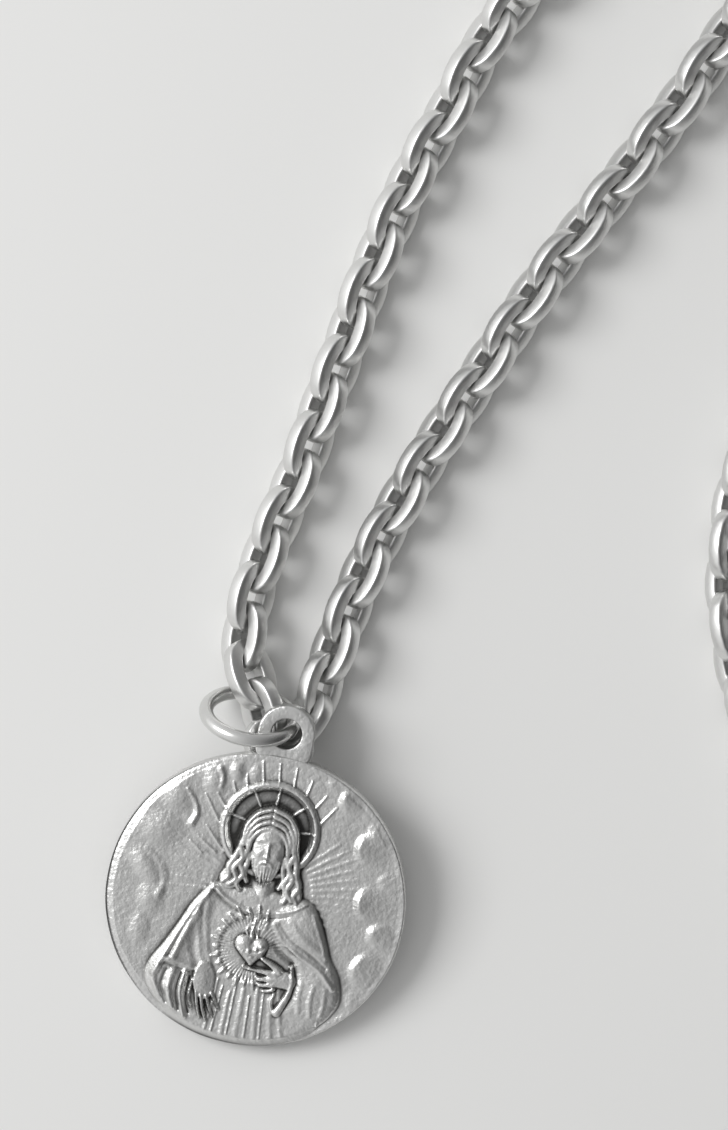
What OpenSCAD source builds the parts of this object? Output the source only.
// Sacred heart medal on a jump ring and a cable-link neck chain, laid on a table.
// Origin: centre of the medal's back face. +Y points to the hanging eye and +Z up.
// The medal leans on the ring and on the chain that lie under its eye.

/* [Medal] */
// Diameter of the medal
medal_d = 20; // [18:0.5:24]
// Thickness of the flat disc that carries the relief
disc_t = 1.15; // [0.9:0.05:1.5]
// Width of the chamfer round the back edge
back_chamfer = 0.15; // [0.05:0.05:0.3]
// Angle at which the medal leans on the ring
lean = 9.5; // [9:0.25:10]
// Height of the relief above the field, at its highest
relief_h = 0.8; // [0.5:0.05:1]
// Rows and columns of the net that forms the relief
relief_n = 64; // [40:2:72]

/* [Hanging eye] */
// Outer diameter of the eye
eye_d = 4; // [3.8:0.1:4.4]
// Diameter of its hole
eye_hole = 2; // [1.9:0.05:2.2]
// Thickness of the eye, front to back
eye_t = 1.0; // [0.8:0.05:1.1]
// How far the centre of the eye stands out past the rim
eye_out = 1.5; // [1.3:0.1:1.8]

/* [Jump ring] */
// Diameter of the ring, from centre to centre of its wire
ring_d = 5.9; // [5.7:0.1:6.3]
// Thickness of its round wire
ring_wire = 0.95; // [0.8:0.05:1]
// Angle between the plane of the ring and the table
ring_tilt = 61; // [58:1:64]

/* [Chain] */
// Outer length of a link
link_l = 4.9; // [4.8:0.05:5.1]
// Outer width of a link
link_w = 3.45; // [3.4:0.05:3.6]
// Thickness of the squared bar that a link is bent from
bar = 1; // [0.9:0.02:1.02]
// Width of the soft edge along the bar
bar_edge = 0.24; // [0.1:0.02:0.3]
// Play between the end bars of two neighbouring links
link_play = 0.2; // [0.16:0.01:0.3]
// Angle by which each link rolls to one side or the other as it lies
roll = 45; // [40:1:50]
// How far the laid chain reaches over the table, in hundredths of the design's reach
chain_reach = 100; // [95:1:120]

/* [Clasp] */
// Outer radius of the hook
hook_r = 3.2; // [3.1:0.1:3.6]
// Width of the hook's bar
hook_bar = 1.2; // [1.1:0.05:1.3]
// Thickness of the clasp
clasp_t = 1.5; // [1.4:0.05:1.6]
// Thickness of the lever
lever_t = 0.6; // [0.5:0.05:0.7]
// Diameter of the lever's pin
pin_d = 0.6; // [0.5:0.05:0.7]
// Clearance of the lever in its slot
lever_fit = 0.1; // [0.08:0.01:0.12]
// Radial clearance of the lever on its pin
pin_fit = 0.05; // [0.03:0.01:0.08]
// Wire of the two small rings at the clasp
catch_wire = 0.8; // [0.7:0.05:0.85]
// Diameter of the two small rings, from centre to centre of the wire
catch_d = 3.5; // [3.45:0.05:3.8]

/* [Hidden] */
$fn = 40;
VISIBLE_LEFT = 19;
VISIBLE_RIGHT = 19;
RING_LINKS = 5;
REAR_GROUPS = 8;
SILVER = [0.78, 0.78, 0.77];

medal_r = medal_d / 2;
table_z = -medal_r * sin(lean);
eye_y = medal_r + eye_out;
eye_mid = disc_t / 2;
rim_step = 0.25;

// The eye's middle, in the frame of the table
eye_row = [0, eye_y * cos(lean) - eye_mid * sin(lean), eye_y * sin(lean) + eye_mid * cos(lean)];
ring_r = ring_d / 2;
// The ring stands on the table and its wire goes through the middle of the eye, a little to the right
RING_OFF = 0.09;
ring_z = table_z + ring_wire / 2 + ring_r * sin(ring_tilt);
ring_turn = asin((eye_row[2] - ring_z) / (ring_r * sin(ring_tilt)));
ring_centre = [RING_OFF - ring_r * cos(ring_turn), eye_row[1] + ring_r * sin(ring_turn) * cos(ring_tilt), ring_z];

// A link's oval is two half rounds and two straight sides, by the middle of its bar
half_l = (link_l - bar) / 2;
half_w = (link_w - bar) / 2;
half_side = half_l - half_w;
pitch = 2 * half_l - bar - link_play;
lie_z = table_z + half_w * sin(roll) + max(bar / 2 * sin(roll) + (bar / 2 - bar_edge) * cos(roll),
                                           bar / 2 * cos(roll) + (bar / 2 - bar_edge) * sin(roll));

// The places of the links at the ring were found with links of this pitch and this height above the table
FOUND_PITCH = 2.7;
FOUND_LIE = 1.4036;
place_grow = pitch / FOUND_PITCH;
lie_grow = (lie_z - table_z) / FOUND_LIE;

// The chain's ends at the ring, from the eye
LEFT_START = [-4, 5.65];
RIGHT_START = [2.05, 5.95];
// Route of the chain from the ring up the left strand, round and back down the right strand, from the eye
LOOP = [
    [-4, 8.55], [-3.6, 11.55], [-3, 14.55], [-2.3, 17.75], [-1.7, 21.75], [-1, 25.75], [-0.4, 29.75], [0.5, 34.25],
    [1.5, 38.25], [3, 42.75], [4.6, 47.75], [7, 52.75], [9.5, 58.75], [12.5, 66.75], [18.5, 76.75], [29, 84.75],
    [44, 88.75], [60, 87.75], [74, 82.75], [84.5, 72.75], [90, 57.75], [91, 41.75], [91, 27.75], [91, 13.75],
    [91, -0.25], [88, -13.25], [79, -23.25], [66, -27.25], [53, -24.75], [43, -16.75], [35.6, -6], [30.5, 5.45],
    [27, 15.2], [27, 25.15], [30.5, 33.5], [37.5, 39], [46, 42.75], [52.5, 48.25], [54.8, 55.5], [52, 63],
    [45.6, 68.2], [37.5, 69.9], [30, 66.9], [24.6, 60.6], [21, 52.75], [17.9, 45.75], [14.8, 39.55],
    [11.3, 32.75], [8.3, 25.75], [5.8, 19.75], [3.9, 14.35], [2.8, 10.15]
];
eye_spot = [eye_row[0], eye_row[1]];
ROUTE = [
    eye_spot + place_grow * LEFT_START,
    for (p = LOOP) eye_spot + chain_reach / 100 * p,
    eye_spot + place_grow * RIGHT_START
];
ROUTE_STEPS = 10;
CLASP_OFF_MIDDLE = 33;
TWIST_LINKS = 22;
HEADING_STEP = 0.6;

function spline(a, b, c, d, t) =
    0.5 * ((2 * b) + (c - a) * t + (2 * a - 5 * b + 4 * c - d) * t * t + (3 * b - a - 3 * c + d) * t * t * t);
route_last = len(ROUTE) - 1;
route_pts = [
    for (i = [0:route_last - 1], k = [0:ROUTE_STEPS - 1])
        spline(ROUTE[max(i - 1, 0)], ROUTE[i], ROUTE[i + 1], ROUTE[min(i + 2, route_last)], k / ROUTE_STEPS),
    ROUTE[route_last]
];
route_sum = [
    for (i = 0, s = 0; i < len(route_pts); s = s + (i + 1 < len(route_pts) ? norm(route_pts[i + 1] - route_pts[i]) : 0),
         i = i + 1) s
];
route_l = route_sum[len(route_sum) - 1];
function route_at(s) = [lookup(s, [for (i = [0:len(route_pts) - 1]) [route_sum[i], route_pts[i][0]]]),
                        lookup(s, [for (i = [0:len(route_pts) - 1]) [route_sum[i], route_pts[i][1]]])];

// The clasp lies near the middle of the chain, its frame at the middle of the hook
hook_in = hook_r - hook_bar;
catch_r = catch_d / 2;
hook_mid = hook_r - hook_bar / 2;
TAIL_REACH = 2.4;
tail_x = hook_r + TAIL_REACH;
tail_hole = 0.7;
tail_r = 1.35;
ring_play = 0.08;
ring_seat = catch_wire / 2 + bar / 2 + ring_play;
catch_x = hook_in + sqrt(pow(catch_r - catch_wire / 2 - ring_play, 2) - pow(clasp_t / 2, 2));
clasp_ring_x = tail_x + catch_r - ring_play;
hook_side = catch_x + catch_r - ring_seat + half_l;
tail_side = clasp_ring_x + catch_r - ring_seat + half_l;
clasp_z = table_z + catch_r + catch_wire / 2;
left_l = (route_l - hook_side - tail_side) / 2 - CLASP_OFF_MIDDLE;
left_links = round(left_l / pitch);
left_pitch = left_l / left_links;
right_l = route_l - left_l - hook_side - tail_side;
right_links = round(right_l / pitch);
right_pitch = right_l / right_links;
clasp_s = left_l + tail_side;
lever_mid = hook_mid;
lever_angle = 200;
lever_pivot = lever_mid * [cos(lever_angle), sin(lever_angle)];
lever_eye = 0.75;
// Land of the body round the lever's eye, and the slot and its leaf spring behind the eye
EYE_LAND = 0.25;
SLOT = [1.9, 1.1];
SLOT_DROP = 0.35;
SPRING_AT = [-1.75, -0.2, -0.25];
SPRING_SIZE = [0.85, 0.8, 0.5];
// Thumb tab of the lever: its near corner, its size and the radius of its end
TAB_AT = [-0.2, -1.9];
TAB = [0.9, 1.5];
TAB_R = 0.45;
// Gap between the lever's curved faces and the faces of the hook
LEVER_INSET = 0.15;
mouth_end = 300;
// The hook's nose and the lever's tip are cut by arcs about the lever's pivot, so that it swings in
nose_r = norm(hook_mid * [cos(mouth_end), sin(mouth_end)] - lever_pivot);

// Links are numbered from the ring along each strand
function left_s(i) = left_pitch * (i - 1);
function right_s(i) = route_l - right_pitch * (i - 1);

// Square bar with its long edges taken off
module bar_section() {
    half = bar / 2;
    flat = half - bar_edge;
    polygon([[half, -flat], [half, flat], [flat, half], [-flat, half],
             [-half, flat], [-half, -flat], [-flat, -half], [flat, -half]]);
}

// One link, its length along Y and flat in the XY plane
module link() {
    for (end = [0, 180])
        rotate([0, 0, end]) {
            translate([0, half_side, 0]) rotate_extrude(angle = 180) translate([half_w, 0]) bar_section();
            translate([half_w, 0, 0]) rotate([90, 0, 0]) linear_extrude(2 * half_side, center = true) bar_section();
        }
}

function heading_at(s) =
    let (q = route_at(min(s + HEADING_STEP, route_l)) - route_at(max(s - HEADING_STEP, 0)))
    atan2(q[1], q[0]) - 90;

// A link laid on the table at a distance along the route
module route_link(s, turn, z) {
    p = route_at(s);
    color(SILVER) translate([p[0], p[1], z]) rotate([0, 0, heading_at(s)]) rotate([0, turn, 0]) link();
}

// The last links of a side twist until the end one is flat, and rise to the clasp's rings
function near_end(i, last) = max(0, 1 - (last - i) / TWIST_LINKS);
function side_of(i) = i % 2 == 0 ? 1 : -1;
function turn_of(i, last) = roll * (side_of(i) - side_of(last) * near_end(i, last));
function rise_of(i, last) = lie_z + (clasp_z - lie_z) * near_end(i, last);

module left_link(i) {
    route_link(left_s(i), turn_of(i, left_links + 1), rise_of(i, left_links + 1));
}

module right_link(i) {
    route_link(right_s(i), turn_of(i + 1, right_links + 2), rise_of(i, right_links + 1));
}

// Links at the ring, from the left strand to the right one: their middle from the eye and above the
// table, then their heading, how far the far end is lifted and their roll
RING_POSES = [
    [[-3.1, 3.23, 2], [29, -13, 41]],
    [[-1.8, 0.9, 2.28], [24.5, 2, -49]],
    [[-0.42, -0.97, 1.96], [81, 21, 8]],
    [[0.87, 0.74, 1.61], [149.5, -7, 51]],
    [[1.62, 3.29, 1.5], [-3, 2.6, 47.3]]
];

module ring_link(i) {
    place = RING_POSES[i - 1][0];
    turns = RING_POSES[i - 1][1];
    color(SILVER)
        translate([eye_spot[0] + place_grow * place[0], eye_spot[1] + place_grow * place[1],
                   table_z + lie_grow * place[2]])
            rotate([0, 0, turns[0]]) rotate([turns[1], 0, 0]) rotate([0, turns[2], 0]) link();
}

module torus(r, wire) {
    rotate_extrude() translate([r, 0]) circle(wire / 2);
}

module jump_ring() {
    color(SILVER) translate(ring_centre) rotate([-ring_tilt, 0, 0]) torus(ring_r, ring_wire);
}

// Relief of the medal, as heights above the field, laid out on a medal of this radius with this highest point
LAYOUT_R = 10;
LAYOUT_H = 0.8;

// Soft ridge along a line: [start, end, radius at both, height at both]
function bump(p, f, form = 0.8) =
    let (ab = f[1] - f[0])
    let (t = max(0, min(1, ((p - f[0]) * ab) / max(ab * ab, 0.0001))))
    let (d = norm(p - f[0] - t * ab) / (f[2] + (f[3] - f[2]) * t))
    d >= 1 ? 0 : (f[4] + (f[5] - f[4]) * t) * pow(1 - d * d, form);
// Soft ridge of even size along several points: [points, radius, height]
function stroke(p, f, form = 1.2) =
    max([for (i = [0:len(f[0]) - 2]) bump(p, [f[0][i], f[0][i + 1], f[1], f[1], f[2], f[2]], form)]);
function highest(p, list) = max([for (f = list) bump(p, f)]);
function highest_stroke(p, list) = max([for (f = list) stroke(p, f)]);
function all_of(p, list, i = 0) = i >= len(list) ? 0 : stroke(p, list[i]) + all_of(p, list, i + 1);

// Cloth inside a closed outline, with a rolled edge
function edge_away(p, a, b) =
    let (t = max(0, min(1, ((p - a) * (b - a)) / ((b - a) * (b - a)))))
    norm(p - a - t * (b - a));
function is_inside(p, o) =
    len([
        for (i = [0:len(o) - 1])
            let (a = o[i], b = o[(i + 1) % len(o)])
            if ((a[1] > p[1]) != (b[1] > p[1]) && p[0] < (b[0] - a[0]) * (p[1] - a[1]) / (b[1] - a[1]) + a[0]) 1
    ]) % 2 == 1;
function cloth(p, o, edge, h) =
    is_inside(p, o)
        ? h * sin(90 * min(1, min([for (i = [0:len(o) - 1]) edge_away(p, o[i], o[(i + 1) % len(o)])]) / edge))
        : 0;

ROBE = [
    [-2.9, 0.8], [-4, -0.6], [-4.7, -2.1], [-5.5, -3.8], [-6.3, -5.3], [-6.5, -6.3], [-5.7, -7.6], [-3.6, -8.9],
    [-1, -9.3], [1.5, -9.3], [3.4, -9], [4.7, -8.3], [5.9, -7.4], [6.8, -6], [6.5, -4.4], [5.7, -3], [5.2, -1.9],
    [4.5, -0.4], [3.6, 0.7], [1.6, 1], [-1.4, 1]
];
LEFT_MANTLE = [
    [-2.9, 0.8], [-4, -0.6], [-4.7, -2.1], [-5.5, -3.8], [-6.3, -5.3], [-6.5, -6.3], [-5.7, -7.6], [-4.4, -8.4],
    [-3, -8.8], [-2.7, -7.8], [-3, -6.4], [-3, -5.3], [-2, -4.8], [-2.3, -3.8], [-2.9, -2.4], [-3, -0.8], [-2.5, 0.4]
];
RIGHT_MANTLE = [
    [3.6, 0.7], [4.5, -0.4], [5.2, -1.9], [5.7, -3], [6.5, -4.4], [6.8, -6], [5.9, -7.4], [4.4, -7.8], [2.8, -7.4],
    [3.1, -6], [3.2, -4.6], [3, -3.8], [2.3, -2.5], [1.5, -1.4], [1.8, -0.2]
];
// Mantle edges, sleeve folds and the folds of the robe
FOLDS = [
    [[[-3.1, 0.5], [-4, -1.1], [-5.2, -3.9], [-6, -5.8]], 0.42, 0.14],
    [[[-3.6, -0.9], [-4.5, -3.2], [-5.3, -5]], 0.36, 0.1],
    [[[-3.2, 0.3], [-3, -1.6], [-2.7, -3.2], [-2.1, -4.7]], 0.38, 0.16],
    [[[-5.6, -5], [-5.9, -6], [-5.4, -7.2]], 0.38, 0.12],
    [[[-5, -5], [-4.4, -4.9], [-3.3, -5.1]], 0.38, 0.1],
    [[[-4.2, -5.3], [-4.4, -6.6], [-4, -8]], 0.32, 0.16],
    [[[-3.5, -5.6], [-3.5, -7], [-3.1, -8.5]], 0.32, 0.18],
    [[[1.8, -1.4], [3, -2.5], [4.6, -3.4], [6, -4.6], [6.4, -5.8]], 0.36, 0.14],
    [[[2.4, -1], [3.8, -2.2], [5.3, -3]], 0.36, 0.08],
    [[[4, -0.2], [4.8, -1.8], [5.3, -2.9]], 0.36, 0.12],
    [[[3.1, -3.9], [3.3, -5], [3.1, -6.1], [2.6, -7.3]], 0.34, 0.24],
    [[[4.5, -4.8], [4.4, -5.8], [4.6, -6.8]], 0.4, 0.08],
    [[[4.7, -7.1], [4.75, -7.8], [4.6, -8.4]], 0.32, 0.14],
    [[[2.9, -7.5], [3.8, -7.6], [4.5, -7.3]], 0.32, 0.1],
    [[[-3, 0.7], [-2.1, 0], [-1.3, -0.4], [-0.2, -0.7]], 0.34, 0.18],
    [[[0.4, -0.5], [1.5, -0.35], [2.6, 0], [3.5, 0.6]], 0.32, 0.14],
    [[[-0.8, -6], [-0.7, -7.4], [-0.9, -9]], 0.34, 0.1],
    [[[0.2, -6.1], [0.3, -7.4], [0.3, -9]], 0.34, 0.1],
    [[[1.2, -6.2], [1.3, -7.4], [1.5, -9]], 0.34, 0.1],
    [[[2, -6.4], [2.2, -7.6], [2.6, -8.8]], 0.34, 0.1]
];
CHEST = [[0.2, -1.5], [0.5, -4], 3.2, 3, 0.12, 0.1];
NECK = [[0.35, 1.8], [0.5, -0.3], 0.95, 1.05, 0.42, 0.42];
// Crown, face and beard, the bridge of the nose, the brow and the mouth
HEAD = [
    [[0.1, 4.6], [0.15, 4.3], 1.85, 1.8, 0.62, 0.62],
    [[0.25, 4.4], [0.25, 2.6], 1.25, 1.1, 0.74, 0.76],
    [[0.25, 2.5], [0.27, 1.7], 0.95, 0.6, 0.76, 0.66]
];
FEATURES = [
    [[[0.25, 4.1], [0.25, 3.1]], 0.3, 0.14],
    [[[-0.45, 4.1], [0.95, 4.1]], 0.3, 0.06],
    [[[-0.05, 2.65], [0.55, 2.65]], 0.3, 0.05]
];
EYES = [[[[-0.2, 3.75], [-0.25, 3.75]], 0.32, 0.08], [[[0.7, 3.75], [0.75, 3.75]], 0.32, 0.08]];
// Long hair at both sides, parted in the middle
HAIR = [
    [[[0.15, 6.1], [-1, 5.8], [-1.6, 4.8], [-1.6, 4]], 0.36, 0.72],
    [[[0.2, 6.1], [1.3, 5.8], [1.9, 4.8], [1.95, 4]], 0.36, 0.72],
    [[[0.1, 5.6], [-0.7, 5.2], [-1.1, 4.4], [-1.15, 3.4]], 0.32, 0.74],
    [[[0.3, 5.6], [1, 5.2], [1.5, 4.4], [1.55, 3.4]], 0.32, 0.74],
    [[[-1.4, 4.4], [-1.6, 3.3], [-1.4, 2.5], [-1.9, 1.6], [-1.7, 0.9]], 0.38, 0.66],
    [[[-1.1, 3.8], [-1.1, 2.9], [-1.4, 2.1], [-1.2, 1.3]], 0.34, 0.6],
    [[[-1.7, 3.6], [-1.9, 2.6], [-2.2, 1.9], [-2.3, 1.1]], 0.34, 0.56],
    [[[1.8, 4.4], [2, 3.3], [1.8, 2.5], [2.3, 1.5], [2.1, 0.6]], 0.38, 0.66],
    [[[1.5, 3.8], [1.5, 2.9], [1.8, 2], [1.7, 1.1]], 0.34, 0.6],
    [[[2.05, 3.8], [2.3, 2.9], [2.5, 2], [2.7, 1.2], [2.5, 0.5]], 0.34, 0.56]
];
// Heart with its flame
HEART = [
    [[-0.3, -2.75], [0.3, -3.9], 0.55, 0.3, 0.76, 0.64],
    [[0.8, -2.7], [0.3, -3.9], 0.55, 0.3, 0.76, 0.64],
    [[0.2, -2.3], [0.15, -1], 0.38, 0.2, 0.7, 0.56]
];
// The raised hand with its wrist, and the lowered hand
HANDS = [
    [[3.2, -4.9], [2.1, -4.6], 0.75, 0.62, 0.64, 0.68],
    [[2.2, -4.4], [0.1, -4.5], 0.36, 0.3, 0.78, 0.66],
    [[2.3, -4.2], [1, -3.65], 0.34, 0.3, 0.8, 0.7],
    [[2, -4.85], [1.1, -5.1], 0.34, 0.3, 0.74, 0.66],
    [[2.2, -5.25], [1.6, -5.65], 0.32, 0.3, 0.7, 0.6],
    [[-2.5, -5.9], [-2.3, -6.8], 0.72, 0.66, 0.6, 0.62],
    [[-2.7, -7], [-2.3, -8.4], 0.34, 0.3, 0.56, 0.46],
    [[-2.3, -7.1], [-1.8, -8.5], 0.34, 0.3, 0.58, 0.46],
    [[-1.95, -6.9], [-1.25, -8], 0.34, 0.3, 0.58, 0.44]
];
// Puffs of cloud along the rim
CLOUDS = [
    [[-5.6, 7], [-5.3, 7.3], 1.4, 1.4, 0.2, 0.2], [[-4, 8.3], [-3.7, 8.4], 0.9, 0.9, 0.14, 0.14],
    [[-6.8, 4.6], [-6.6, 5.1], 1.6, 1.6, 0.26, 0.26], [[-8.1, 2.3], [-8.1, 2.3], 1.5, 1.5, 0.24, 0.24],
    [[-7.1, 0.4], [-7.1, 0.4], 1.65, 1.65, 0.26, 0.26], [[-8.1, -1.9], [-8.1, -1.9], 1.35, 1.35, 0.2, 0.2],
    [[-7.3, -3.9], [-7.3, -3.9], 1.05, 1.05, 0.16, 0.16], [[4.5, 8.3], [4.8, 8.2], 0.85, 0.85, 0.16, 0.16],
    [[6, 7.1], [6.4, 6.8], 1.35, 1.35, 0.24, 0.24], [[8, 4.5], [8.2, 4.2], 1.6, 1.6, 0.3, 0.3],
    [[8.7, 1.2], [8.7, 1], 1.65, 1.65, 0.32, 0.32], [[9.2, -1.6], [9.2, -1.6], 1.35, 1.35, 0.26, 0.26],
    [[8.6, -3.9], [8.8, -4.1], 1.4, 1.4, 0.26, 0.26], [[7.6, -6.2], [7.8, -6.2], 1.1, 1.1, 0.16, 0.16]
];
HALO = [0.1, 4.75];
HALO_R = 3.08;
HALO_W = 0.34;
HALO_H = 0.28;
HALO_WELL = 0.1;
SPOKES = [
    for (a = [-62, -14, 16, 60, 96, -96])
        [[HALO + 1.8 * [sin(a), cos(a)], HALO + 3 * [sin(a), cos(a)]], 0.32, 0.18]
];
RAY_START = 0.6;
HEART_MID = [0.2, -3.1];
BURST_R = 2.75;
BURST_W = 0.34;
RAYS = 36;
RAY_H = 0.035;
BURST_RAYS = 22;
// The glory is open between these directions, where the raised hand lies
BURST_GAP = [-70, 50];
// Height over which the figure's edge runs into the field
RELIEF_JOIN = 0.06;
RIM_W = 0.75;
RIM_SLOPE = 0.4;
RIM_H = 0.12;

function halo(p) =
    let (d = norm(p - HALO))
    let (q = min(1, abs(d - HALO_R) / HALO_W))
    HALO_H * (1 - q * q) - HALO_WELL * max(0, min(1, (HALO_R - d) / HALO_W));
function sky_rays(p) =
    let (v = p - HALO)
    RAY_H * cos(RAYS * atan2(v[1], v[0])) * max(0, min(1, (norm(v) - HALO_R - HALO_W) / RAY_START));
// Glory of short rays round the heart
function burst(p) =
    let (v = p - HEART_MID)
    let (a = atan2(v[1], v[0]), d = norm(v))
    let (open = a > BURST_GAP[0] && a < BURST_GAP[1] ? 0 : 1)
    let (beads = 0.5 + 0.5 * cos(BURST_RAYS * a))
    d > BURST_R + BURST_W ? 0
    : open * ((0.1 + 0.1 * beads) * max(0, 1 - pow((d - BURST_R) / BURST_W, 2)) + 0.05 * beads * min(1, d));
function rim(d) =
    let (q = (d - LAYOUT_R + RIM_W) / RIM_SLOPE)
    q <= 0 ? 0 : RIM_H * sin(min(1, q) * 90);
function body_height(p) =
    let (robe = cloth(p, ROBE, 0.8, 0.34))
    let (under = max(robe, cloth(p, LEFT_MANTLE, 0.6, 0.5), cloth(p, RIGHT_MANTLE, 0.6, 0.52)))
    under + (bump(p, CHEST, 2) + all_of(p, FOLDS) + burst(p)) * min(1, under / 0.3);
function head_height(p) =
    let (h = highest(p, HEAD))
    max(h > 0.5 ? h + all_of(p, FEATURES) - all_of(p, EYES) : h, highest_stroke(p, HAIR));
function relief(p) =
    let (figure = max(body_height(p), bump(p, NECK, 2), head_height(p), highest(p, HEART), highest(p, HANDS)))
    let (back = highest(p, CLOUDS) + sky_rays(p) + halo(p) + all_of(p, SPOKES))
    let (gap = figure - back)
    let (join = 0.5 + 0.5 * max(-1, min(1, gap / RELIEF_JOIN)))
    (figure > 0 ? back + gap * join : back) * relief_h / LAYOUT_H;

relief_grow = medal_r / LAYOUT_R;
relief_r = medal_r - rim_step;
relief_sink = 0.25;
edge_lift = 0.03;
edge_dip = 0.15;
// A square net mapped onto the disc, its outer row on a circle
function net(i, j) =
    let (u = 2 * i / relief_n - 1, v = 2 * j / relief_n - 1)
    relief_r * [u * sqrt(1 - v * v / 2), v * sqrt(1 - u * u / 2)];
function on_edge(i, j) = i == 0 || j == 0 || i == relief_n || j == relief_n;
function edge_walk() = concat(
    [for (i = [0:relief_n - 1]) [i, 0]], [for (j = [0:relief_n - 1]) [relief_n, j]],
    [for (i = [0:relief_n - 1]) [relief_n - i, relief_n]], [for (j = [0:relief_n - 1]) [0, relief_n - j]]
);

module relief_net() {
    m = relief_n + 1;
    walk = edge_walk();
    count = len(walk);
    top = [
        for (j = [0:relief_n], i = [0:relief_n])
            let (p = net(i, j))
            let (q = p / relief_grow)
            [p[0], p[1], disc_t + (on_edge(i, j) ? edge_lift : max(relief(q) + rim(norm(q)), -edge_dip))]
    ];
    low = [for (w = walk) let (p = net(w[0], w[1])) [p[0], p[1], disc_t - relief_sink]];
    // Each cell is split along its more level diagonal, so that outlines run smoothly
    cells = [for (j = [0:relief_n - 1], i = [0:relief_n - 1]) j * m + i];
    rising = [for (a = cells) abs(top[a][2] - top[a + m + 1][2]) < abs(top[a + 1][2] - top[a + m][2]) ? 1 : 0];
    faces = concat(
        [for (k = [0:len(cells) - 1]) let (a = cells[k]) [a, a + m, a + 1 + m * rising[k]]],
        [for (k = [0:len(cells) - 1]) let (a = cells[k]) [a + 1, a + m * (1 - rising[k]), a + m + 1]],
        [for (k = [0:count - 1])
            let (n = (k + 1) % count)
            [walk[k][1] * m + walk[k][0], walk[n][1] * m + walk[n][0], m * m + n]],
        [for (k = [0:count - 1])
            let (n = (k + 1) % count)
            [walk[k][1] * m + walk[k][0], m * m + n, m * m + k]],
        [[for (k = [0:count - 1]) m * m + k]]
    );
    polyhedron(concat(top, low), faces, convexity = 6);
}

// Turned disc with a chamfered back edge
module blank() {
    rotate_extrude($fn = 120)
        polygon([[0, 0], [medal_r - back_chamfer, 0], [medal_r, back_chamfer], [medal_r, disc_t - 0.1],
                 [medal_r - 0.1, disc_t], [0, disc_t]]);
}

module eye() {
    difference() {
        translate([0, eye_y, eye_mid - eye_t / 2]) cylinder(d = eye_d, h = eye_t);
        translate([0, eye_y, -1]) cylinder(d = eye_hole, h = disc_t + 2);
    }
}

module medal() {
    color(SILVER) rotate([lean, 0, 0]) {
        blank();
        relief_net();
        eye();
    }
}

module rear_chain(g) {
    first = VISIBLE_LEFT + 1;
    all_links = left_links + right_links + 2;
    per = (all_links - VISIBLE_RIGHT - VISIBLE_LEFT) / REAR_GROUPS;
    for (k = [first + ceil((g - 1) * per):first + ceil(g * per) - 1])
        if (k <= left_links + 1) left_link(k);
        else right_link(all_links + 1 - k);
}

// Puts its children in the clasp's frame: X along the chain, from the tail to the hook
module at_clasp() {
    p = route_at(clasp_s);
    color(SILVER) translate([p[0], p[1], clasp_z]) rotate([0, 0, heading_at(clasp_s) + 90]) children();
}

module sector(r, from, to) {
    polygon([[0, 0], for (a = [from:10:to]) r * [cos(a), sin(a)]]);
}

// Band of the hook between two angles
module hook_band(inner, outer, from, to) {
    intersection() {
        difference() {
            circle(outer);
            circle(inner);
        }
        sector(2 * outer, from, to);
    }
}

module clasp_outline() {
    difference() {
        hook_band(hook_in, hook_r, mouth_end - 360, lever_angle);
        intersection() {
            translate(lever_pivot) circle(nose_r + lever_fit);
            sector(2 * hook_r, mouth_end - 365, -25);
        }
    }
    difference() {
        union() {
            translate([-tail_x, -tail_r]) square([tail_x - hook_in - 0.3, 2 * tail_r]);
            translate([-tail_x, 0]) circle(tail_r);
            translate(lever_pivot) circle(lever_eye + EYE_LAND);
        }
        translate([-tail_x, 0]) circle(tail_hole);
        circle(hook_in);
    }
}

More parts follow.
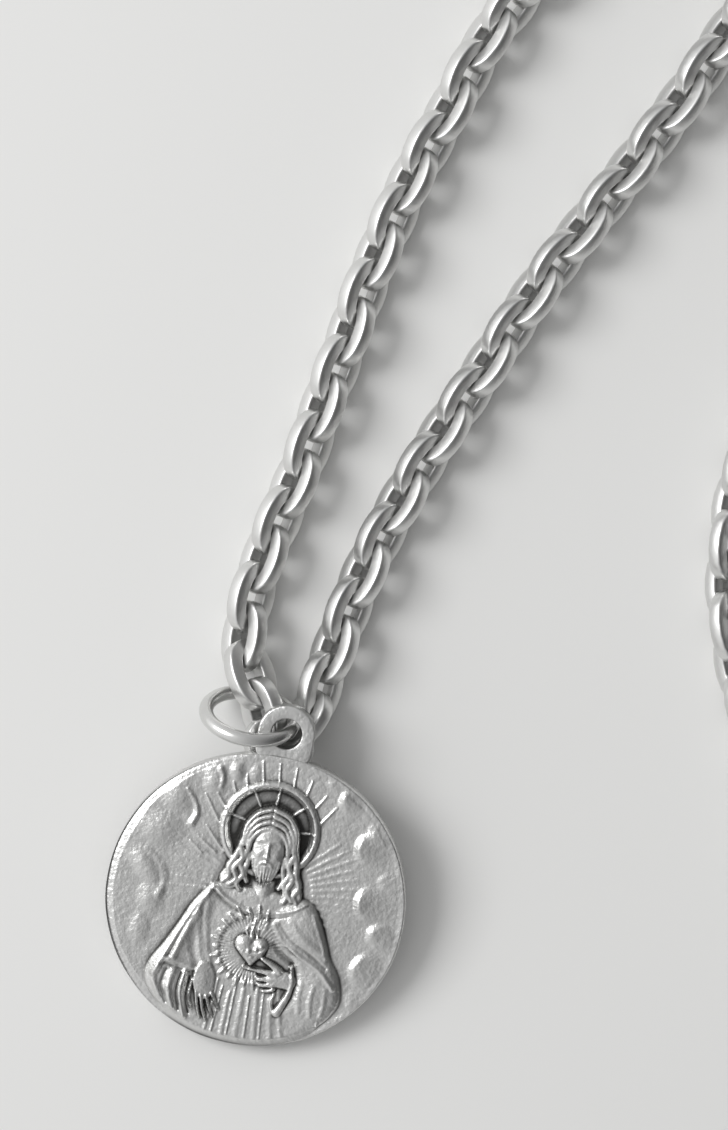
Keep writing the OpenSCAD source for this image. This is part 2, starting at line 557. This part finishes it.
module clasp_body() {
    at_clasp() difference() {
        translate([0, 0, -clasp_t / 2]) linear_extrude(clasp_t) clasp_outline();
        translate([0, 0, -lever_t / 2 - lever_fit]) linear_extrude(lever_t + 2 * lever_fit) {
            translate(lever_pivot) circle(lever_eye + EYE_LAND);
            translate(lever_pivot - [SLOT[0], SLOT_DROP]) square(SLOT);
        }
        translate([lever_pivot[0], lever_pivot[1], -clasp_t]) cylinder(d = pin_d, h = 2 * clasp_t, $fn = 24);
    }
}

// Curved lever that closes the mouth, with a thumb tab at its root
module clasp_lever() {
    at_clasp() translate([0, 0, -lever_t / 2]) linear_extrude(lever_t) difference() {
        union() {
            intersection() {
                hook_band(hook_in + LEVER_INSET, hook_r - LEVER_INSET, lever_angle + 2, mouth_end + 35);
                translate(lever_pivot) circle(nose_r);
            }
            translate(lever_pivot) circle(lever_eye);
            translate(lever_pivot + TAB_AT) square(TAB);
            translate(lever_pivot + TAB_AT + [TAB[0] / 2, 0]) circle(TAB_R);
        }
        translate(lever_pivot) circle(pin_d / 2 + pin_fit, $fn = 24);
    }
}

module clasp_pin() {
    at_clasp() translate([lever_pivot[0], lever_pivot[1], -clasp_t / 2]) cylinder(d = pin_d, h = clasp_t, $fn = 24);
}

// Small leaf spring in the slot behind the lever's root
module clasp_spring() {
    at_clasp() translate([lever_pivot[0], lever_pivot[1], 0] + SPRING_AT) cube(SPRING_SIZE);
}

module clasp_ring() {
    at_clasp() translate([-clasp_ring_x, 0, 0]) rotate([90, 0, 0]) torus(catch_r, catch_wire);
}

module catch_ring() {
    at_clasp() translate([catch_x, 0, 0]) rotate([90, 0, 0]) torus(catch_r, catch_wire);
}

medal();
jump_ring();
for (i = [1:RING_LINKS])
    ring_link(i);
for (i = [1:VISIBLE_LEFT])
    left_link(i);
for (i = [1:VISIBLE_RIGHT])
    right_link(i);
for (i = [1:REAR_GROUPS])
    rear_chain(i);
clasp_body();
clasp_lever();
clasp_pin();
clasp_spring();
clasp_ring();
catch_ring();
